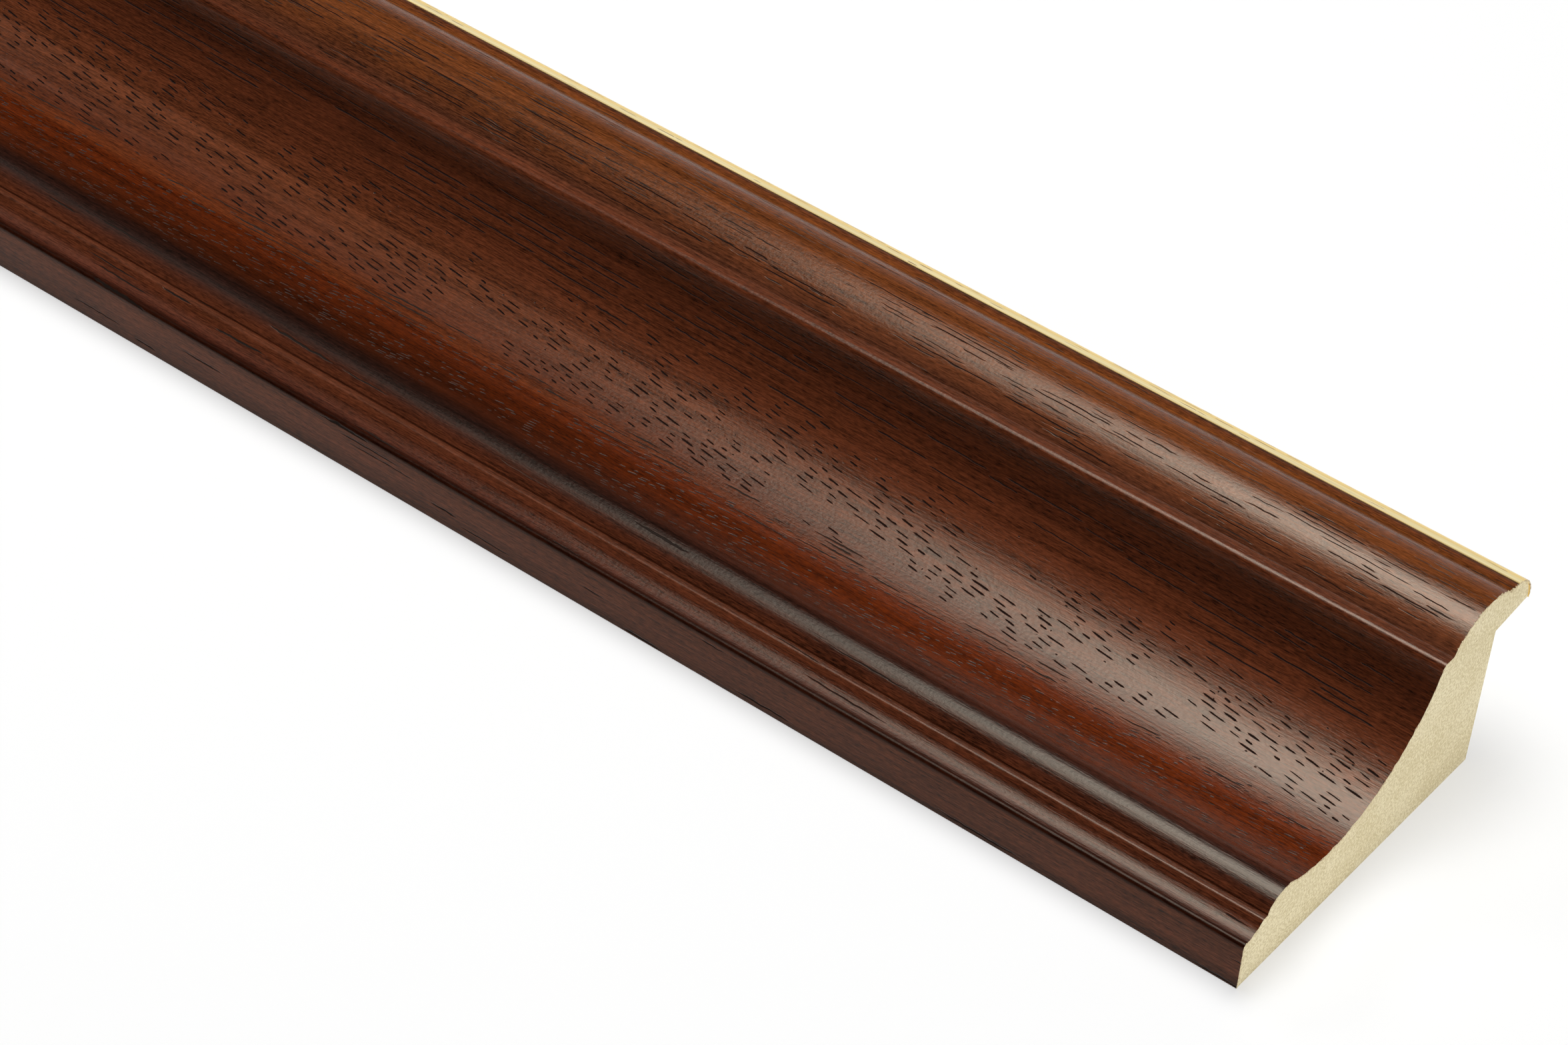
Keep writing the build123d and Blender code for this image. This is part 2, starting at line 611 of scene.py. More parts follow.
# fibreboard core
coreBuild = {
    "sawnShort": 0.15,  # mm that the board ends inside the film's ragged edge
    "smoothAngle": 30,
}

# slivers torn up along the sawn edges, in mm
burrBuild = {
    "seed": 21,
    "count": 120,
    "reach": (0.06, 0.42),
    "root": (0.10, 0.34),
    "start": 40.0,  # degrees of the torus where the tearing starts
    "bunching": 0.8,  # under 1, more of the slivers stand towards the quirk
    "onQuirk": 0.3,  # share of the slivers that stand on the quirk
    "lean": 0.2,
    "sunk": 0.02,  # how far in from the sawn end a sliver's root stands
    "heel": (0.2, 0.15),  # its hidden corner: how far in, and how far below the root
    "tipIn": 0.12,
    "topGap": 0.01,  # kept between the slivers and the top of the CAD box
}


def makeBurr(endX, inward, seed):
    # one joined mesh of slivers, from the back of the torus over the quirk to the nose
    dice = random.Random(seed)
    film = wrapBuild["thickness"] / mm
    top = cadHigh.z / mm - burrBuild["topGap"]
    heelIn, heelDrop = burrBuild["heel"]
    verts = []
    faces = []
    centre = Vector(place["torusCentre"])
    ending = math.atan2(place["torusEnd"][1] - centre.y, place["torusEnd"][0] - centre.x)
    first = math.radians(180 - burrBuild["start"])
    for i in range(burrBuild["count"]):
        turn = first + (ending - first) * dice.random() ** burrBuild["bunching"]
        outward = Vector((math.cos(turn), math.sin(turn)))
        root = centre + outward * (section["torusRadius"] + film * dice.random())
        if dice.random() < burrBuild["onQuirk"]:
            share = dice.random()
            root = Vector(place["torusEnd"]).lerp(Vector(place["noseTop"]), share)
            root.y += film * dice.random()
            outward = Vector((0.0, 1.0))
        reach = dice.uniform(*burrBuild["reach"]) * dice.random()
        if outward.y > 0.05:
            reach = min(reach, (top - root.y) / outward.y)
        side = Vector((-outward.y, outward.x))
        breadth = dice.uniform(*burrBuild["root"]) / 2
        lean = side * dice.uniform(-burrBuild["lean"], burrBuild["lean"])
        tip = root + outward * reach + lean
        tip.y = min(tip.y, top)
        sunk = burrBuild["sunk"]
        corners = [(sunk, root - side * breadth), (sunk, root + side * breadth)]
        corners += [(heelIn, root - outward * heelDrop), (dice.uniform(0.0, burrBuild["tipIn"]), tip)]
        a = len(verts)
        verts += [(endX + inward * depth * mm, spot.x * mm, spot.y * mm) for depth, spot in corners]
        faces += [(a, a + 1, a + 3), (a + 1, a + 2, a + 3), (a + 2, a, a + 3), (a, a + 2, a + 1)]
    mesh = bpy.data.meshes.new("burr")
    mesh.from_pydata(verts, [], faces)
    burr = bpy.data.objects.new("burr", mesh)
    bpy.context.collection.objects.link(burr)
    return burr


def makeCore():
    short = coreBuild["sawnShort"] * mm
    piece = penDown("fibreboard_stick", farX + short, place["wallFoot"])
    drawWrappedFace()
    turnTo(place["noseTip"], place["noseCentre"], drawing["noseSteps"])
    for name in ("ledgeEnd", "ledgeRoot", "rabbetFoot"):
        lineTo(place[name])
    roundArrises(piece)
    bpy.ops.mesh.select_all(action="SELECT")
    bpy.ops.mesh.edge_face_add()
    drawAlong([nearX - farX - 2 * short])
    bpy.ops.mesh.select_all(action="SELECT")
    bpy.ops.mesh.normals_make_consistent(inside=False)
    bpy.ops.object.mode_set(mode="OBJECT")
    bpy.ops.object.shade_smooth_by_angle(angle=math.radians(coreBuild["smoothAngle"]))
    nearBurr = makeBurr(nearX, -1, burrBuild["seed"])
    farBurr = makeBurr(farX, 1, burrBuild["seed"] + 1)
    deselectAll()
    for burr in (nearBurr, farBurr):
        burr.select_set(True)
        bpy.context.view_layer.objects.active = burr
        editAll()
        bpy.ops.mesh.normals_make_consistent(inside=False)
        bpy.ops.object.mode_set(mode="OBJECT")
    piece.select_set(True)
    bpy.context.view_layer.objects.active = piece
    bpy.ops.object.join()
    return piece


bench = {"tree": None}  # the node tree being wired


def feed(socket, value):
    if isinstance(value, bpy.types.NodeSocket):
        bench["tree"].links.new(value, socket)
    else:
        socket.default_value = value


def add(kind, inputs=None, **settings):
    made = bench["tree"].nodes.new("ShaderNode" + kind)
    for name, value in settings.items():
        setattr(made, name, value)
    for name, value in (inputs or {}).items():
        feed(made.inputs[name], value)
    return made


def calc(operation, first, second=0.0, third=0.0):
    return add("Math", {0: first, 1: second, 2: third}, operation=operation).outputs[0]


def ranged(value, low, high, outLow=0.0, outHigh=1.0):
    # smooth ramp between two levels; falls where low is above high
    ends = {"Value": value, "From Min": low, "From Max": high, "To Min": outLow, "To Max": outHigh}
    return add("MapRange", ends, interpolation_type="SMOOTHSTEP").outputs["Result"]


def mixed(factor, first, second, blend="MIX"):
    made = add("Mix", data_type="RGBA", blend_type=blend)
    feed(made.inputs[0], factor)
    feed(made.inputs[6], first)
    feed(made.inputs[7], second)
    return made.outputs[2]


def flat(along, across, cell, shift=0.0):
    # pattern coordinates with one unit for each cell
    x = calc("MULTIPLY_ADD", along, 1 / cell[0], shift)
    y = calc("MULTIPLY_ADD", across, 1 / cell[1], shift * 1.7)
    return add("CombineXYZ", {"X": x, "Y": y}).outputs[0]


def cloud(along, across, cell, shift=0.0, detail=2.0, roughness=0.5):
    vector = flat(along, across, cell, shift)
    inputs = {"Vector": vector, "Scale": 1.0, "Detail": detail, "Roughness": roughness}
    return add("TexNoise", inputs, noise_dimensions="2D").outputs["Fac"]


def stopsAcross(across, width, tones):
    # a colour ramp over the width of a face, with its stops in mm
    ramp = add("ValToRGB", {0: calc("MULTIPLY", across, 1 / width)})
    stops = ramp.color_ramp.elements
    for i, (at, colour) in enumerate(tones):
        stop = stops[i] if i < 2 else stops.new(1.0)
        stop.position = at / width
        stop.color = (*colour, 1)
    return ramp.outputs[0]


def shaded(colour, tone):
    grey = add("CombineXYZ", {0: tone, 1: tone, 2: tone}).outputs[0]
    return mixed(1.0, colour, grey, "MULTIPLY")


def newMaterial(name):
    material = bpy.data.materials.new(name)
    material.use_nodes = True
    bench["tree"] = material.node_tree
    shader = material.node_tree.nodes["Principled BSDF"]
    return material, shader


def raiseUp(shader, height):
    # bump with its height in mm
    bump = add("Bump", {"Strength": 1.0, "Distance": mm, "Height": height})
    feed(shader.inputs["Normal"], bump.outputs[0])


def faceCoordinates():
    # millimetres along the stick and across the face
    spot = add("TexCoord").outputs["Object"]
    along = calc("MULTIPLY", add("SeparateXYZ", {0: spot}).outputs["X"], 1 / mm)
    across = calc("MULTIPLY", add("Attribute", attribute_name="across").outputs["Fac"], 1 / mm)
    return along, across


# wood-grain film: tones over the face, by distance from the foot of the wall in mm; the stops marked below
# hold painted shade
filmLook = {
    "faceWidth": 64.5,
    "tones": [
        (0.0, (0.054, 0.016, 0.007)),
        (3.0, (0.088, 0.025, 0.011)),
        (5.9, (0.082, 0.023, 0.009)),
        # 6.2 to 6.7: painted shadow line under the cove's edge, along the wall-top arris
        (6.2, (0.014, 0.003, 0.001)),
        (6.7, (0.016, 0.003, 0.001)),
        (7.5, (0.068, 0.017, 0.008)),
        (9.2, (0.066, 0.016, 0.006)),
        (10.4, (0.080, 0.022, 0.009)),
        (11.6, (0.072, 0.018, 0.007)),
        # 13.6 to 17.0: the bead's crest, its far side and the valley darker, partly painted shade of the
        #               valley
        (13.6, (0.020, 0.008, 0.006)),
        (15.4, (0.030, 0.008, 0.004)),
        (17.0, (0.056, 0.011, 0.003)),
        (21.0, (0.080, 0.012, 0.001)),
        (24.6, (0.090, 0.013, 0.001)),
        (25.6, (0.106, 0.021, 0.004)),
        (28.0, (0.078, 0.017, 0.005)),
        (33.0, (0.104, 0.026, 0.008)),
        (38.0, (0.082, 0.020, 0.007)),
        (43.0, (0.059, 0.014, 0.005)),
        (46.8, (0.036, 0.008, 0.002)),
        (48.6, (0.095, 0.023, 0.008)),
        (50.2, (0.092, 0.028, 0.012)),
        (54.0, (0.110, 0.026, 0.004)),
        (57.5, (0.130, 0.035, 0.008)),
        (60.5, (0.135, 0.033, 0.005)),
        (61.8, (0.150, 0.040, 0.005)),
        (63.5, (0.125, 0.034, 0.011)),
        # 64.0: grey-dark line at the seam with the gold, a painted shadow of the film's edge
        (64.0, (0.070, 0.040, 0.028)),
    ],
    "fine": (1.1, 0.13),  # cells along and across, in mm, then what each pattern adds
    "fineTone": (0.55, 1.45),
    "fineHeight": 0.009,
    "fibre": (9.0, 0.30),
    "fibreTone": 0.3,
    "fibreHeight": 0.016,
    "streak": (130.0, 1.5),
    "streakTone": 0.22,
    "peel": (0.5, 0.35),
    "peelHeight": 0.010,
    "valleyShadeWave": 270.0,  # mm from one stretch of painted shade in the valley to the next
    "valleyShadeZone": (12.0, 16.0, 20.0, 27.0),
    "valleyShadeTone": 0.42,
    "ior": 1.42,
    "glossTint": (1.0, 0.87, 0.70, 1),
    "roughness": 0.2,
    "poreRoughness": 0.65,  # added in the finer pores
}

# the face in bands, each up to a distance in mm, so that a material holds only the pores that lie there
filmBands = {
    "grain_wall": {"to": 6.9, "gloss": 0.18, "pores": ("wallSlits",)},
    "grain_cove": {"to": 10.4, "gloss": 0.35, "pores": ("wallSlits",)},
    "grain_bead": {"to": 16.6, "gloss": 0.42, "pores": ("wallSlits", "scoopTicks")},
    "grain_valley": {"to": 23.6, "gloss": 0.5, "pores": ("scoopTicks",)},
    "grain_streak": {"to": 28.4, "gloss": 0.5, "pores": ("scoopTicks", "streakSlits")},
    "grain_scoop": {"to": 38.6, "gloss": 0.53, "pores": ("pinholes",)},
    "grain_hollow": {"to": 48.4, "gloss": 0.5, "pores": ()},
    "grain_torus": {"to": 60.2, "gloss": 0.6, "pores": ("torusTicks",)},
    "grain_quirk": {"to": 70.0, "gloss": 0.26, "pores": ("torusTicks",)},
}

# finer pores, as bump: cell, slit, zone and depth in mm, tint as the bottom of the slit shows; the scoop
# ticks' grey is a painted glint
darkPore = (0.008, 0.004, 0.003, 1)
# grey of the scoop ticks: painted glints on small grooves
paintedGlintGrey = (0.022, 0.016, 0.016, 1)
poreLook = {
    "streakSlits": {
        "cell": (11.0, 0.6), "slit": (6.0, 0.16), "share": 0.55, "zone": (24.2, 25.2, 26.8, 28.0),
        "crowd": (0.30, 0.55), "slope": -0.02, "wave": 0.7, "jog": 0.2,
        "depth": 0.05, "tint": darkPore, "shift": 29.3,
    },
    "scoopTicks": {
        "cell": (1.9, 0.5), "slit": (0.95, 0.125), "share": 0.72, "zone": (15.6, 17.5, 24.5, 27.0),
        "crowd": (0.30, 0.55), "slope": -0.14, "wave": 0.5, "jog": 0.1,
        "depth": 0.04, "tint": paintedGlintGrey, "shift": 37.3,
    },
    "torusTicks": {
        "cell": (6.0, 0.6), "slit": (4.2, 0.1), "share": 0.7, "zone": (49.6, 51.4, 63.0, 64.0),
        "crowd": (0.34, 0.58), "slope": 0.01, "wave": 0.6, "jog": 0.2,
        "depth": 0.04, "tint": darkPore, "shift": 43.7,
    },
    "wallSlits": {
        "cell": (20.0, 0.9), "slit": (8.0, 0.2), "share": 0.35, "zone": (-1.0, 0.0, 12.5, 16.0),
        "crowd": (0.34, 0.56), "slope": 0.01, "wave": 0.7, "jog": 0.2,
        "depth": 0.06, "tint": darkPore, "shift": 51.1,
    },
    "pinholes": {
        "cell": (1.5, 1.1), "slit": (0.26, 0.15), "share": 0.2, "zone": (26.0, 28.0, 36.0, 40.0),
        "crowd": (0.40, 0.60), "slope": 0.0, "wave": 0.0, "jog": 0.0,
        "depth": 0.05, "tint": darkPore, "shift": 57.7,
    },
}


# how the finer pores vary: shares of a slit's size, and the levels where its mark and groove fade
slitShape = {
    "lengths": (0.28, 0.66),
    "widths": (0.36, 0.64),
    "fray": 0.8,
    "looseEdge": 3.0,  # mm that the edges of a zone wander
    "thinnest": 0.08,  # share of the pores left where they don't crowd
    "mark": (1.1, 0.8),
    "groove": (1.6, 0.2),
}


def grainFields(along, across):
    # fields that all pores share: where the grain wanders, where pores crowd and how rims fray
    return {
        "along": along,
        "across": across,
        "wander": calc("SUBTRACT", cloud(along, across, (19.0, 5.0), 3.1), 0.5),
        "jog": calc("SUBTRACT", cloud(along, across, (1.5, 1.6), 21.3, 1.0), 0.5),
        "crowd": cloud(along, across, (15.0, 2.4), 8.3),
        "fray": calc("SUBTRACT", cloud(along, across, (0.8, 0.2), 12.9, 1.0), 0.5),
    }


def poreMarks(look, grain):
    # some of the stretched cells hold one slit each, its size drawn by the cell: (mark, groove)
    bent = calc("MULTIPLY_ADD", grain["along"], look["slope"], grain["across"])
    bent = calc("MULTIPLY_ADD", grain["wander"], look["wave"], bent)
    bent = calc("MULTIPLY_ADD", grain["jog"], look["jog"], bent)
    vector = flat(grain["along"], bent, look["cell"], look["shift"])
    cells = add("TexVoronoi", {"Vector": vector, "Scale": 1.0}, voronoi_dimensions="2D", feature="F1")
    away = add("VectorMath", {0: vector, 1: cells.outputs["Position"]}, operation="SUBTRACT").outputs[0]
    steps = add("SeparateXYZ", {0: away}).outputs
    dice = add("SeparateColor", {0: cells.outputs["Color"]}).outputs
    length = ranged(dice[0], 0.0, 1.0, *(look["slit"][0] * share for share in slitShape["lengths"]))
    width = ranged(dice[2], 0.0, 1.0, *(look["slit"][1] * share for share in slitShape["widths"]))
    run = calc("DIVIDE", calc("MULTIPLY", steps[0], look["cell"][0]), length)
    breadth = calc("DIVIDE", calc("ABSOLUTE", calc("MULTIPLY", steps[1], look["cell"][1])), width)
    taper = calc("MULTIPLY", run, run)
    lens = calc("MULTIPLY_ADD", taper, taper, breadth)
    lens = calc("MULTIPLY_ADD", grain["fray"], slitShape["fray"], lens)
    low, lowFull, highFull, high = look["zone"]
    loose = calc("MULTIPLY_ADD", grain["wander"], slitShape["looseEdge"], grain["across"])
    chance = calc("MULTIPLY", ranged(loose, low, lowFull), ranged(loose, high, highFull))
    crowded = ranged(grain["crowd"], *look["crowd"], slitShape["thinnest"], 1.0)
    chance = calc("MULTIPLY", chance, crowded)
    spare = calc("SUBTRACT", calc("MULTIPLY", chance, look["share"]), dice[1])
    held = ranged(spare, 0.0, 0.06)
    mark = calc("MULTIPLY", ranged(lens, *slitShape["mark"]), held)
    groove = calc("MULTIPLY", ranged(lens, *slitShape["groove"]), held)
    return mark, groove


def filmMaterial(name, band):
    material, shader = newMaterial(name)
    along, across = faceCoordinates()
    grain = grainFields(along, across)
    fine = cloud(along, across, filmLook["fine"], 2.0, 2.0, 0.6)
    fibre = cloud(along, across, filmLook["fibre"], 6.0, 3.0, 0.6)
    streak = cloud(along, across, filmLook["streak"], 7.0, 3.0, 0.55)
    tone = ranged(fine, 0.2, 0.8, *filmLook["fineTone"])
    tone = calc("ADD", tone, ranged(fibre, 0.25, 0.75, -filmLook["fibreTone"], filmLook["fibreTone"]))
    tone = calc("ADD", tone, ranged(streak, 0.25, 0.75, -filmLook["streakTone"], filmLook["streakTone"]))
    # painted light and shade in the valley: lighter at the sawn end, darker further along, coming and going
    # along the stick
    fromEnd = calc("SUBTRACT", along, nearX / mm)
    swing = calc("COSINE", calc("MULTIPLY", fromEnd, math.tau / filmLook["valleyShadeWave"]))
    low, lowFull, highFull, high = filmLook["valleyShadeZone"]
    valley = calc("MULTIPLY", ranged(across, low, lowFull), ranged(across, high, highFull))
    valleyShading = calc("MULTIPLY_ADD", calc("MULTIPLY", swing, valley), filmLook["valleyShadeTone"], 1.0)
    tone = calc("MULTIPLY", tone, valleyShading)
    colour = shaded(stopsAcross(across, filmLook["faceWidth"], filmLook["tones"]), tone)
    peel = cloud(along, across, filmLook["peel"], 15.0, 1.0)
    height = calc("MULTIPLY", fibre, filmLook["fibreHeight"])
    height = calc("MULTIPLY_ADD", fine, filmLook["fineHeight"], height)
    height = calc("MULTIPLY_ADD", peel, filmLook["peelHeight"], height)
    pores = 0.0
    for kind in band["pores"]:
        look = poreLook[kind]
        mark, groove = poreMarks(look, grain)
        colour = mixed(mark, colour, look["tint"])
        pores = calc("MAXIMUM", pores, mark)
        height = calc("MULTIPLY_ADD", groove, -look["depth"], height)
    feed(shader.inputs["Base Color"], colour)
    even = ranged(streak, 0.2, 0.8, filmLook["roughness"] - 0.03, filmLook["roughness"] + 0.04)
    feed(shader.inputs["Roughness"], calc("MULTIPLY_ADD", pores, filmLook["poreRoughness"], even))
    shader.inputs["Specular IOR Level"].default_value = band["gloss"]
    shader.inputs["IOR"].default_value = filmLook["ior"]
    shader.inputs["Specular Tint"].default_value = filmLook["glossTint"]
    raiseUp(shader, height)
    return material


# inside a cut pore: film colour at its rim, going dark at its foot
cutLook = {
    "rim": (0.075, 0.022, 0.008, 1),
    "foot": darkPore,
    "grit": 0.2,
    "gritHeight": 0.02,
    "roughness": (0.7, 0.9),
    "gloss": 0.1,
}


def poreMaterial():
    material, shader = newMaterial("open_pore")
    spot = add("TexCoord").outputs["Object"]
    scale = 1 / (cutLook["grit"] * mm)
    grit = add("TexNoise", {"Vector": spot, "Scale": scale, "Detail": 2.0}).outputs[0]
    sunk = add("Attribute", attribute_name="pore").outputs["Fac"]
    depth = calc("ADD", ranged(sunk, 0.0, 0.5), ranged(grit, 0.3, 0.7, -0.15, 0.15))
    feed(shader.inputs["Base Color"], mixed(depth, cutLook["rim"], cutLook["foot"]))
    feed(shader.inputs["Roughness"], ranged(grit, 0.2, 0.8, *cutLook["roughness"]))
    shader.inputs["Specular IOR Level"].default_value = cutLook["gloss"]
    raiseUp(shader, calc("MULTIPLY", grit, cutLook["gritHeight"]))
    return material


# the film's paper, seen as a pale line round the sawn ends
paperLook = {
    "pale": (0.66, 0.55, 0.34, 1),
    "stained": (0.30, 0.17, 0.08, 1),
    "wisp": 0.5,
    "wispHeight": 0.03,
    "roughness": (0.75, 0.85),
    "gloss": 0.25,
}


def paperMaterial():
    material, shader = newMaterial("film_paper")
    spot = add("TexCoord").outputs["Object"]
    scale = 1 / (paperLook["wisp"] * mm)
    wisp = add("TexNoise", {"Vector": spot, "Scale": scale, "Detail": 2.0}).outputs[0]
    stain = ranged(wisp, 0.45, 0.75)
    feed(shader.inputs["Base Color"], mixed(stain, paperLook["pale"], paperLook["stained"]))
    feed(shader.inputs["Roughness"], ranged(wisp, 0.2, 0.8, *paperLook["roughness"]))
    shader.inputs["Specular IOR Level"].default_value = paperLook["gloss"]
    raiseUp(shader, calc("MULTIPLY", wisp, paperLook["wispHeight"]))
    return material


# fibreboard: cream board with fine fibres, tan flecks and a few bark specks, sizes in mm
boardLook = {
    "pale": (0.82, 0.73, 0.50, 1),
    "tan": (0.64, 0.54, 0.32, 1),
    "fleck": (0.40, 0.27, 0.12, 1),
    "speck": (0.10, 0.06, 0.03, 1),
    "gritSize": 0.3,
    "gritHeight": 0.08,
    "patchSize": 6.0,
    "chipSize": 0.33,
    "fleckShare": 0.5,
    "fleckHeight": -0.05,
    "speckCell": 3.0,
    "specksHeld": 0.08,  # share of the cells with a speck
    "speckShare": 0.8,
    "roughness": (0.77, 0.93),
    "gloss": 0.25,
}


def boardMaterial():
    material, shader = newMaterial("cream_fibreboard")
    spot = add("TexCoord").outputs["Object"]
    sizes = ("gritSize", "patchSize", "chipSize", "speckCell")
    scales = {name: 1 / (boardLook[name] * mm) for name in sizes}
    gritty = {"Vector": spot, "Scale": scales["gritSize"], "Detail": 4.0, "Roughness": 0.65}
    grit = add("TexNoise", gritty).outputs[0]
    patch = add("TexNoise", {"Vector": spot, "Scale": scales["patchSize"], "Detail": 2.0}).outputs[0]
    tint = calc("ADD", ranged(grit, 0.3, 0.7, -0.6, 1.3), ranged(patch, 0.3, 0.7, 0.0, 0.4))
    colour = mixed(tint, boardLook["pale"], boardLook["tan"])
    chip = add("TexNoise", {"Vector": spot, "Scale": scales["chipSize"], "Detail": 2.0}).outputs[0]
    fleck = ranged(chip, 0.63, 0.75)
    colour = mixed(calc("MULTIPLY", fleck, boardLook["fleckShare"]), colour, boardLook["fleck"])
    speckCells = add("TexVoronoi", {"Vector": spot, "Scale": scales["speckCell"]})
    speckDice = add("SeparateColor", {0: speckCells.outputs["Color"]}).outputs
    rare = calc("LESS_THAN", speckDice[0], boardLook["specksHeld"])
    speck = calc("MULTIPLY", ranged(speckCells.outputs["Distance"], 0.12, 0.06), rare)
    colour = mixed(calc("MULTIPLY", speck, boardLook["speckShare"]), colour, boardLook["speck"])
    feed(shader.inputs["Base Color"], colour)
    feed(shader.inputs["Roughness"], ranged(grit, 0.2, 0.8, *boardLook["roughness"]))
    shader.inputs["Specular IOR Level"].default_value = boardLook["gloss"]
    height = calc("MULTIPLY", grit, boardLook["gritHeight"])
    raiseUp(shader, calc("MULTIPLY_ADD", fleck, boardLook["fleckHeight"], height))
    return material


# gold film: tones over its width in mm, from the seam with the wrap; the pale cream band from 0.12 to 1.1
# mm is a painted highlight along the top of the nose
goldLook = {
    "width": 6.0,
    "tones": [
        (0.0, (0.80, 0.54, 0.18)),
        (0.12, (0.94, 0.74, 0.34)),
        (0.3, (0.96, 0.82, 0.48)),
        (0.75, (0.95, 0.78, 0.40)),
        (1.1, (0.93, 0.66, 0.19)),
        (5.5, (0.90, 0.62, 0.17)),
    ],
    "streak": (0.24, 0.11, 0.03, 1),
    "streakShare": 0.9,
    "fibre": (22.0, 0.12),  # cell along and across, in mm
    "fibreTone": (0.86, 1.1),
    "fibreHeight": 0.006,
    "metal": 0.2,
    "roughness": (0.29, 0.41),
}

goldMarks = {
    "cell": (5.0, 0.5), "slit": (2.6, 0.13), "share": 0.6, "zone": (0.2, 0.6, 5.0, 5.5),
    "crowd": (0.34, 0.52), "slope": 0.02, "wave": 0.3, "jog": 0.1, "depth": 0.03, "shift": 61.3,
}


def goldMaterial():
    material, shader = newMaterial("gilt_film")
    along, across = faceCoordinates()
    fibre = cloud(along, across, goldLook["fibre"], 4.0, 3.0, 0.6)
    colour = stopsAcross(across, goldLook["width"], goldLook["tones"])
    colour = shaded(colour, ranged(fibre, 0.25, 0.75, *goldLook["fibreTone"]))
    marks, grooves = poreMarks(goldMarks, grainFields(along, across))
    marked = calc("MULTIPLY", marks, goldLook["streakShare"])
    feed(shader.inputs["Base Color"], mixed(marked, colour, goldLook["streak"]))
    shader.inputs["Metallic"].default_value = goldLook["metal"]
    feed(shader.inputs["Roughness"], ranged(fibre, 0.2, 0.8, *goldLook["roughness"]))
    height = calc("MULTIPLY", fibre, goldLook["fibreHeight"])
    raiseUp(shader, calc("MULTIPLY_ADD", grooves, -goldMarks["depth"], height))
    return material


def dress(piece, materials, node):
    piece.data.materials.clear()
    for material in materials:
        piece.data.materials.append(material)
    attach(piece, "root")
    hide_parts(node)


core = makeCore()
dress(core, [boardMaterial()], "fibreboard_core")
print("core made")
wrap = makeWrap()
bands = [filmMaterial(name, band) for name, band in filmBands.items()]
dress(wrap, [*bands, paperMaterial(), poreMaterial()], "wood_grain_wrap")
sortFaces(wrap)
print("wrap made")
lip = makeLip()
dress(lip, [goldMaterial(), bpy.data.materials["film_paper"]], "gold_lip")
for face in lip.data.polygons:
    face.material_index = int(abs(face.normal.x) > drawing["sawnEnd"])  # paper at the sawn ends
print("gold lip made")

# the camera as the photo has it, in metres: the sawn end near, the stick running off to the upper left
cameraSet = {
    "location": (0.7538, -0.3323, 0.3451),
    "right": (0.79016, 0.60830, 0.07491),
    "up": (-0.44401, 0.48389, 0.75413),
    "lens": 106.4,
    "sensor": 36.0,
    "nearest": 0.01,
}


def placeCamera():
    deselectAll()
    bpy.ops.object.camera_add(location=cameraSet["location"])
    camera = bpy.context.object
    right = Vector(cameraSet["right"]).normalized()
    back = right.cross(Vector(cameraSet["up"])).normalized()
    up = back.cross(right)
    camera.rotation_euler = Matrix((right, up, back)).transposed().to_euler()
    camera.data.lens = cameraSet["lens"]
    camera.data.sensor_width = cameraSet["sensor"]
    camera.data.clip_start = cameraSet["nearest"]
    bpy.context.scene.camera = camera


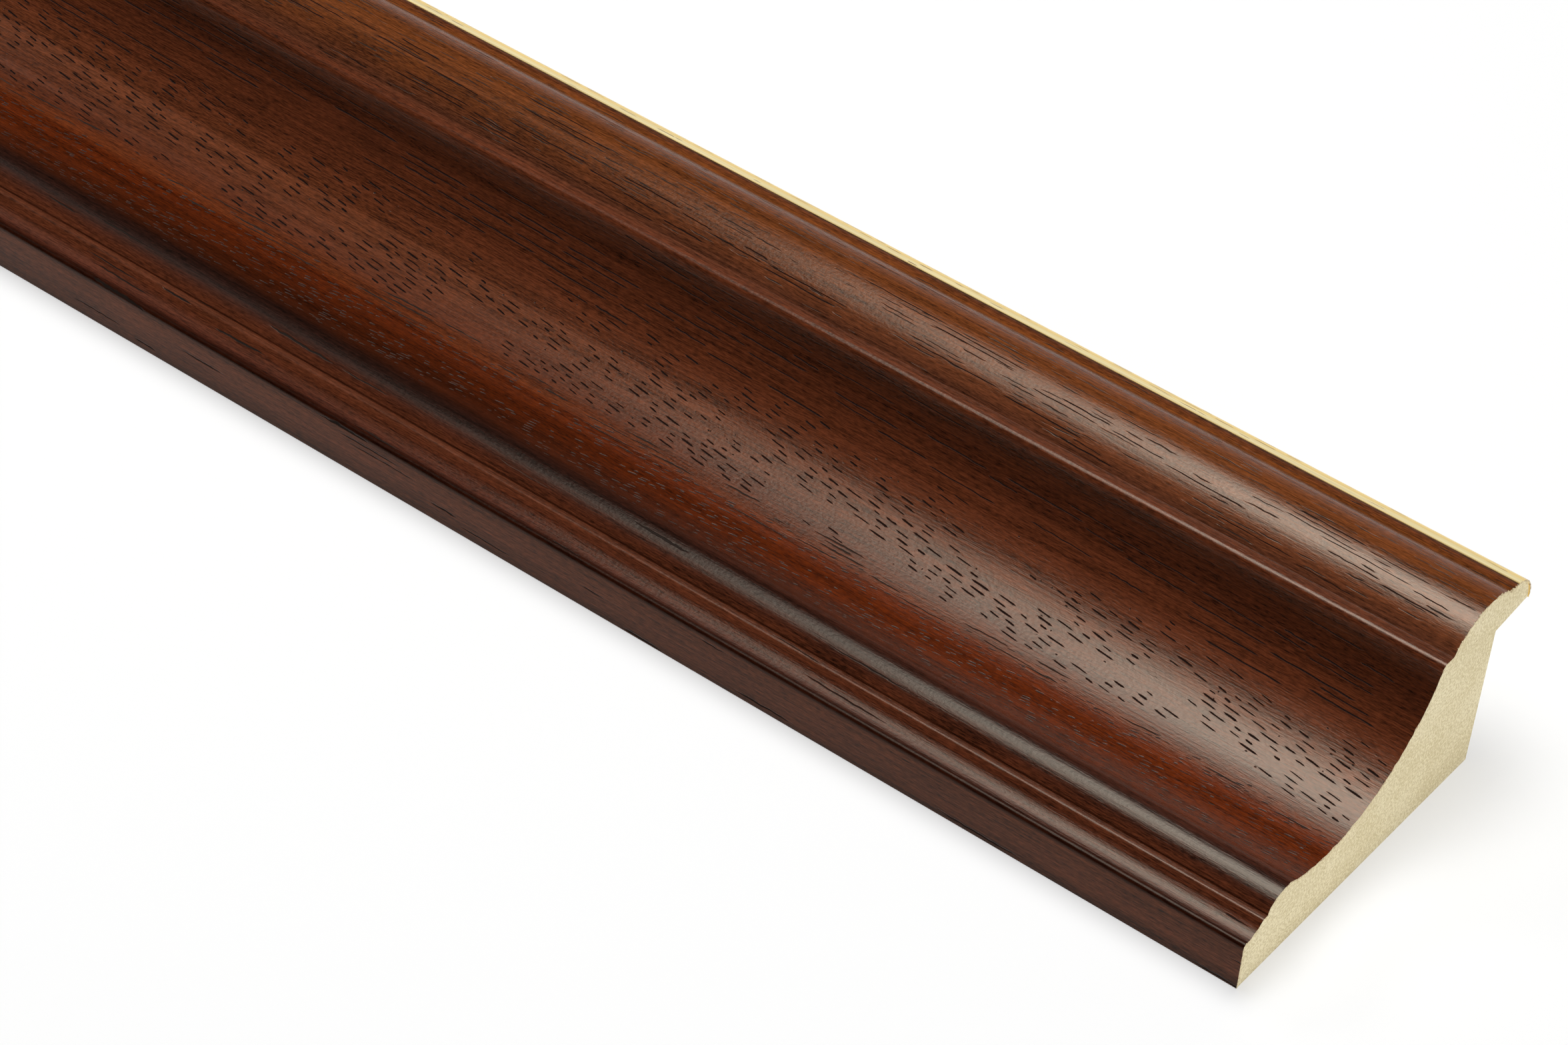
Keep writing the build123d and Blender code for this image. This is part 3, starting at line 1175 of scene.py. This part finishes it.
# soft boxes: middle and size in metres, what each one faces, and how bright its face is
softBoxes = {
    "overMiddle": {
        "middle": (0.39, 0.08, 0.838), "aim": (0.39, 0.08, 0), "size": (0.20, 0.28), "face": 4.5,
    },
    "overRing": {
        "middle": (0.39, 0.08, 0.840), "aim": (0.39, 0.08, 0), "size": (0.36, 0.52), "face": 3.5,
    },
    "overRim": {
        "middle": (0.39, 0.08, 0.842), "aim": (0.39, 0.08, 0), "size": (0.56, 0.80), "face": 2.6,
    },
    "overFarEnd": {
        "middle": (-0.62, 0.08, 0.84), "aim": (-0.62, 0.08, 0), "size": (0.5, 0.5), "face": 5.0,
    },
    "besideSawnEnd": {
        "middle": (1.55, -0.35, 0.45), "aim": (0.61, 0, 0.01), "size": (0.8, 0.8), "face": 3.85,
    },
    "behind": {
        "middle": (0.0, 1.1, 0.25), "aim": (0, 0, 0.1), "size": (2.6, 0.5), "face": 0.25,
    },
}


roomGlow = 0.03  # strength of the white room round the stick


def lightUp():
    for name, box in softBoxes.items():
        deselectAll()
        bpy.ops.object.light_add(type="AREA", location=box["middle"])
        lamp = bpy.context.object
        lamp.name = name
        lamp.data.shape = "RECTANGLE"
        lamp.data.size, lamp.data.size_y = box["size"]
        lamp.data.energy = box["face"] * math.pi * box["size"][0] * box["size"][1]
        aim = Vector(box["aim"]) - Vector(box["middle"])
        lamp.rotation_euler = aim.to_track_quat("-Z", "Y").to_euler()
        lamp.visible_camera = False
    world = bpy.data.worlds.new("studio")
    world.use_nodes = True
    background = world.node_tree.nodes["Background"]
    background.inputs["Color"].default_value = (1, 1, 1, 1)
    background.inputs["Strength"].default_value = roomGlow
    bpy.context.scene.world = world


# floor: pale all over, with its real shading so that the shadow stays
floorSet = {
    "size": 16.0,
    "drop": 0.02 * mm,
    "colour": (0.95, 0.95, 0.945, 1),
    "roughness": 0.9,
    "glow": 0.5,
}


def layFloor():
    deselectAll()
    bpy.ops.mesh.primitive_plane_add(size=floorSet["size"], location=(0, 0, -floorSet["drop"]))
    floor = bpy.context.object
    floor.name = "floor"
    material, shader = newMaterial("pale_floor")
    shader.inputs["Base Color"].default_value = floorSet["colour"]
    shader.inputs["Roughness"].default_value = floorSet["roughness"]
    shader.inputs["Specular IOR Level"].default_value = 0.0
    path = add("LightPath").outputs
    seen = calc("MAXIMUM", path["Is Camera Ray"], path["Is Glossy Ray"])
    seen = calc("MAXIMUM", seen, path["Is Transmission Ray"])
    share = calc("MULTIPLY", seen, floorSet["glow"])
    glow = add("Emission", {"Color": (1, 1, 1, 1), "Strength": 1.0})
    blend = add("MixShader", {0: share, 1: shader.outputs[0], 2: glow.outputs[0]})
    feed(material.node_tree.nodes["Material Output"].inputs["Surface"], blend.outputs[0])
    floor.data.materials.append(material)


placeCamera()
lightUp()
layFloor()
bpy.context.scene.view_settings.view_transform = "Standard"
print("camera, lights and floor set")
